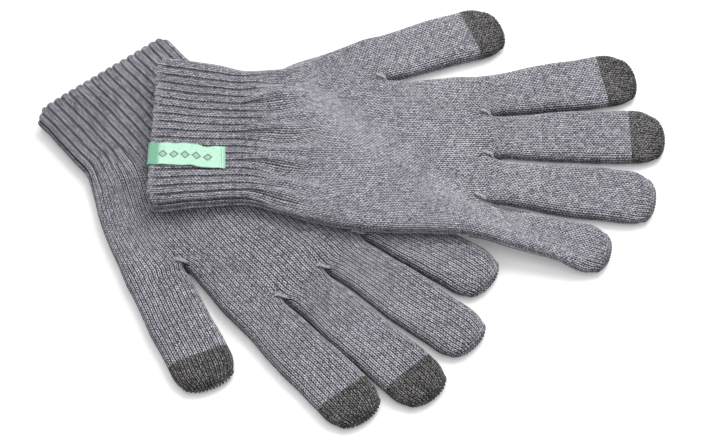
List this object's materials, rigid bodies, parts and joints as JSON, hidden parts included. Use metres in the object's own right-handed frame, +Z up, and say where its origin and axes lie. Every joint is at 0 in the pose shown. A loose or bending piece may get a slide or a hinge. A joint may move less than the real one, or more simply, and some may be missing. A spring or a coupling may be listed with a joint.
{
  "type": "touchscreen gloves",
  "caption": "Pair of knitted gloves lying one across the other, backs up, with ribbed cuffs and conductive caps on thumb, index and middle fingers.",
  "frame": {"origin": "centre of the pair's footprint, on the surface that the gloves lie on", "axes": "+X along the right glove towards its fingertips, +Y away from the viewer, +Z up; both gloves lie with their backs up"},
  "size_m": [0.2883, 0.2391, 0.0257],
  "materials": {
    "knit_yarn": "melange grey plain knit and 2 by 1 rib",
    "conductive_yarn": "dark marled conductive knit",
    "label_tape": "woven green tape with a plain woven motif",
    "label_thread": "matt sewing thread",
    "elastic": "covered elastic yarn"
  },
  "bodies": {
    "left_hand": {"left_cuff": "knit_yarn", "left_cuff_welt": "knit_yarn", "left_elastic_yarn": "elastic", "left_hand_lower": "knit_yarn", "left_hand_upper": "knit_yarn", "left_crotch_stitches": "knit_yarn"},
    "left_thumb": {"left_thumb_sleeve": "knit_yarn", "left_thumb_tip": "conductive_yarn"},
    "left_index": {"left_index_sleeve": "knit_yarn", "left_index_tip": "conductive_yarn"},
    "left_middle": {"left_middle_sleeve": "knit_yarn", "left_middle_tip": "conductive_yarn"},
    "left_ring": {"left_ring_sleeve": "knit_yarn"},
    "left_little": {"left_little_sleeve": "knit_yarn"},
    "right_hand": {"right_cuff": "knit_yarn", "right_cuff_welt": "knit_yarn", "right_elastic_yarn": "elastic", "right_hand_lower": "knit_yarn", "right_hand_upper": "knit_yarn", "right_crotch_stitches": "knit_yarn", "right_label": "label_tape", "right_label_stitches": "label_thread"},
    "right_thumb": {"right_thumb_sleeve": "knit_yarn", "right_thumb_tip": "conductive_yarn"},
    "right_index": {"right_index_sleeve": "knit_yarn", "right_index_tip": "conductive_yarn"},
    "right_middle": {"right_middle_sleeve": "knit_yarn", "right_middle_tip": "conductive_yarn"},
    "right_ring": {"right_ring_sleeve": "knit_yarn"},
    "right_little": {"right_little_sleeve": "knit_yarn"}
  },
  "joints": [
    {"name": "right_glove_lift", "type": "slide", "parent": "left_hand", "child": "right_hand", "axis": [0, 0, 1], "range_m": [0, 0.15]},
    {"name": "left_thumb_fold", "type": "hinge", "parent": "left_hand", "child": "left_thumb", "pos_m": [-0.08617, -0.03862, 0.00934], "axis": [-0.915, -0.4035, 0], "range_deg": [0, 60]},
    {"name": "left_index_fold", "type": "hinge", "parent": "left_hand", "child": "left_index", "pos_m": [-0.04021, -0.05916, 0.00921], "axis": [-0.772, -0.6318, -0.0698], "range_deg": [0, 60]},
    {"name": "left_middle_fold", "type": "hinge", "parent": "left_hand", "child": "left_middle", "pos_m": [-0.01965, -0.04557, 0.00858], "axis": [-0.7314, -0.682, 0], "range_deg": [0, 60]},
    {"name": "left_ring_fold", "type": "hinge", "parent": "left_hand", "child": "left_ring", "pos_m": [-0.00353, -0.02656, 0.00925], "axis": [-0.661, -0.7471, 0.0698], "range_deg": [0, 60]},
    {"name": "left_little_fold", "type": "hinge", "parent": "left_hand", "child": "left_little", "pos_m": [0.01157, -0.00708, 0.00996], "axis": [-0.5779, -0.8042, 0.1392], "range_deg": [0, 60]},
    {"name": "right_thumb_fold", "type": "hinge", "parent": "right_hand", "child": "right_thumb", "pos_m": [0.01144, 0.08675, 0.00938], "axis": [0.3469, -0.9379, 0], "range_deg": [0, 60]},
    {"name": "right_index_fold", "type": "hinge", "parent": "right_hand", "child": "right_index", "pos_m": [0.06146, 0.06484, 0.00939], "axis": [0.161, -0.9831, 0.0872], "range_deg": [0, 60]},
    {"name": "right_middle_fold", "type": "hinge", "parent": "right_hand", "child": "right_middle", "pos_m": [0.06402, 0.04036, 0.00859], "axis": [-0.0035, -1, 0], "range_deg": [0, 60]},
    {"name": "right_ring_fold", "type": "hinge", "parent": "right_hand", "child": "right_ring", "pos_m": [0.0621, 0.01428, 0.0094], "axis": [-0.149, -0.985, -0.0872], "range_deg": [0, 60]},
    {"name": "right_little_fold", "type": "hinge", "parent": "right_hand", "child": "right_little", "pos_m": [0.05568, -0.0114, 0.01951], "axis": [-0.2599, -0.9499, -0.1737], "range_deg": [0, 60]}
  ],
  "couplings": [
    {"joint": "left_ring_fold", "follows": "right_glove_lift", "rad_per_m": 6.981},
    {"joint": "left_little_fold", "follows": "right_glove_lift", "rad_per_m": 6.981}
  ]
}
